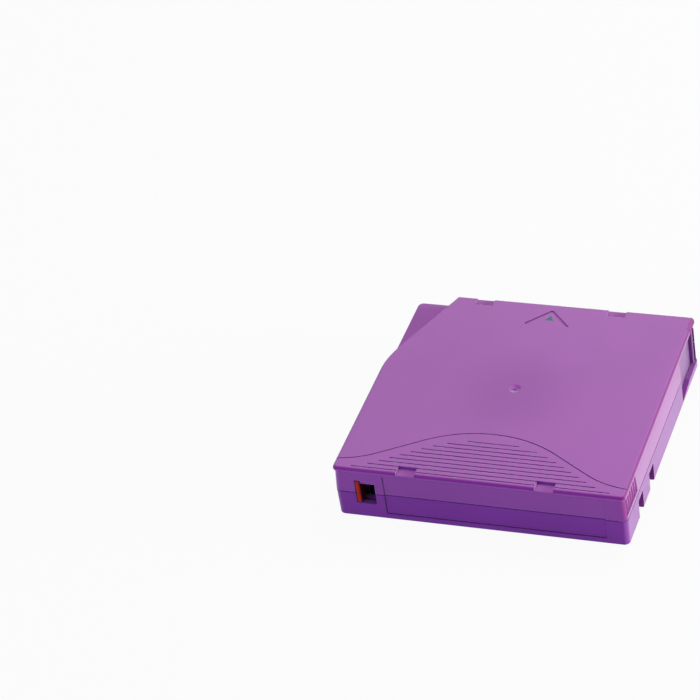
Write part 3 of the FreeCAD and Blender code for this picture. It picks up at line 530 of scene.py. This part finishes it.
# %% [markdown]
# ## Steel
#
# The pin, the reel's plate and the screws are turned or pressed steel with faint tool marks, and
# the springs are drawn wire. Dark and light colour on a metal would look like paint, because its
# colour is that of its reflections. So the detail goes into roughness and a shallow grain, from a
# noise that is stretched along the tool's path.

# %% Steels
def steel(name, colour, marks_mm, stretch, low_rough, high_rough):
    finish, tree, shader = new_finish(name, low_rough, metallic=1.0)
    marks = cloud(tree, marks_mm, 2.0, stretch)
    tree.links.new(between(tree, cloud(tree, 5), darkened(colour, 0.9), colour),
                   shader.inputs["Base Color"])
    wear(tree, shader, marks, low_rough, high_rough)
    grain(tree, shader, marks, 0.004, 0.05)
    finishes[name] = finish


steel("steel", (0.60, 0.60, 0.59), 0.5, (1, 1, 6), 0.24, 0.38)
steel("spring_steel", (0.52, 0.53, 0.55), 0.3, (1, 1, 1), 0.26, 0.36)
print("finishes so far:", sorted(finishes))

# %% [markdown]
# ## The memory board
#
# The small board is green solder mask over a copper antenna. The copper is thinner than a hair, so
# it isn't worth any geometry. It shows through as slightly lighter bands, which a wave texture
# along the board gives. A thin clear coat makes it glossy.

# %% Board
tracks_scale = 330
finish, tree, shader = new_finish("board", 0.32)
tracks = add_node(tree, "TexWave", {"Vector": on_object(tree), "Scale": tracks_scale},
                  bands_direction="X").outputs["Fac"]
tree.links.new(between(tree, tracks, (0.012, 0.085, 0.030), (0.030, 0.150, 0.050)),
               shader.inputs["Base Color"])
grain(tree, shader, tracks, 0.02)
shader.inputs["Coat Weight"].default_value = 0.5
finishes["board"] = finish
print("scale of the board's tracks:", tracks_scale)

# %% [markdown]
# ## Dressing the CAD nodes
#
# The record names a material slot for each node, and a finish with the node's own name goes first,
# as for the lower shell.

# %% Assign the finishes
for part in frame["record"]["subparts"]:
    node = nodes[part["node"]]
    node.data.materials.clear()
    own = part["node"] + "_plastic"
    node.data.materials.append(finishes[own if own in finishes else part["material_slot"]])

# %% [markdown]
# ## Two coil springs
#
# A coil spring is a small circle of wire that climbs as it goes round. A helical curve with a
# round bevel would look the same. The spin operator does it in one step when it gets a step along
# its axis as well as an angle, and leaves a closed mesh with its ends capped. The CAD coils stand
# in for these smooth ones in the physics.

# %% A coil by spinning a circle
STEPS_PER_TURN = 28


def coil(name, start, axis, radius, wire, turns, length):
    """Wire of radius wire wound at radius round axis, from start along length."""
    steps = turns * STEPS_PER_TURN
    along = Vector(axis)
    side = Vector((1, 0, 0))
    wound = bmesh.new()
    ring = bmesh.ops.create_circle(wound, cap_ends=True, segments=12, radius=wire)
    # the wire's circle stands across its own path: turned about side, then moved out to radius
    tangent = along.cross(side)
    across = Matrix((side, along, -tangent)).transposed().to_4x4()
    bmesh.ops.transform(wound, matrix=Matrix.Translation(start + side * radius) @ across,
                        verts=ring["verts"])
    bmesh.ops.spin(wound, geom=wound.faces[:], cent=start, axis=along, dvec=along * length / steps,
                   angle=2 * math.pi * turns, steps=steps, use_duplicate=False)
    bmesh.ops.recalc_face_normals(wound, faces=wound.faces[:])
    for face in wound.faces:
        face.smooth = len(face.verts) == 4
    spring = add_mesh(name, wound)
    spring.data.materials.append(finishes["spring_steel"])
    print(name, "has", len(spring.data.polygons), "faces")
    return spring


door_low, door_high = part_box("door_spring")
door_wire = 0.15 * MM
door_coil = coil("door_coil", Vector(((door_low.x + door_high.x) / 2, door_low.y + door_wire,
                                      (door_low.z + door_high.z) / 2)), (0, 1, 0),
                 (door_high.x - door_low.x) / 2 - door_wire, door_wire, 24,
                 door_high.y - door_low.y - 2 * door_wire)
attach(door_coil, "case")
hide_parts("door_spring")

# %% The brake's coil
brake_low, brake_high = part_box("brake_spring")
brake_wire = 0.45 * MM
brake_coil = coil("brake_coil", Vector((0, 0, brake_low.z + brake_wire)), (0, 0, 1),
                  (brake_high.x - brake_low.x) / 2 - brake_wire, brake_wire, 5,
                  brake_high.z - brake_low.z - 2 * brake_wire)
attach(brake_coil, "case")
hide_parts("brake_spring")

# %% [markdown]
# The springs can't shorten with a joint by themselves. Armature bones could do it, but a coil
# pressed from one end simply scales along its axis from the end that stays put. What is left of its
# length is its room at the end of the travel over its room at rest, both measured from that end.
# This cell only gives each spring a mesh of its own, and doesn't scale it.

# %% Give each spring a mesh of its own
for spring, joint, axis, wall, end in (
        (door_coil, "door_slide", (0, 1, 0), "fixed_end_y_m", door_high.y),
        (brake_coil, "brake_lift", (0, 0, 1), "fixed_end_z_m", brake_low.z)):
    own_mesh(spring)

# %% [markdown]
# ## The printed mark
#
# A small printed triangle near the back edge of the lid shows which end goes in first. It could be
# a coloured patch in the lid's own material, but its edge would follow the texture. Ink is a film,
# so it is a triangle a hundredth of a millimetre thick that lies on the lid and stays sharp.

# %% The triangle of ink
film = 0.01 * MM
triangle_mm = ((-0.95, 41.2), (2.25, 41.2), (0.65, 44.05))
lid_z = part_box("upper_case")[1].z

mark = bmesh.new()
face = mark.faces.new([mark.verts.new((x * MM, y * MM, lid_z)) for x, y in triangle_mm])
raised = bmesh.ops.extrude_face_region(mark, geom=[face])
bmesh.ops.translate(mark, vec=(0, 0, film),
                    verts=[v for v in raised["geom"] if isinstance(v, bmesh.types.BMVert)])
bmesh.ops.recalc_face_normals(mark, faces=mark.faces[:])
printed_triangle = add_mesh("printed_triangle", mark)

finish, tree, shader = new_finish("teal_ink", 0.45)
tree.links.new(between(tree, cloud(tree, 0.5), (0.006, 0.115, 0.13), (0.012, 0.16, 0.175)),
               shader.inputs["Base Color"])
printed_triangle.data.materials.append(finish)
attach(printed_triangle, "case")
print("triangle at height", round(lid_z / MM, 2), "mm")

# %% [markdown]
# ## Last setting
#
# The dressed model has to stay inside the CAD model's box, but for the film of ink. The last cell
# sets the Standard view transform.

# %% Set the view transform
bpy.context.scene.view_settings.view_transform = "Standard"
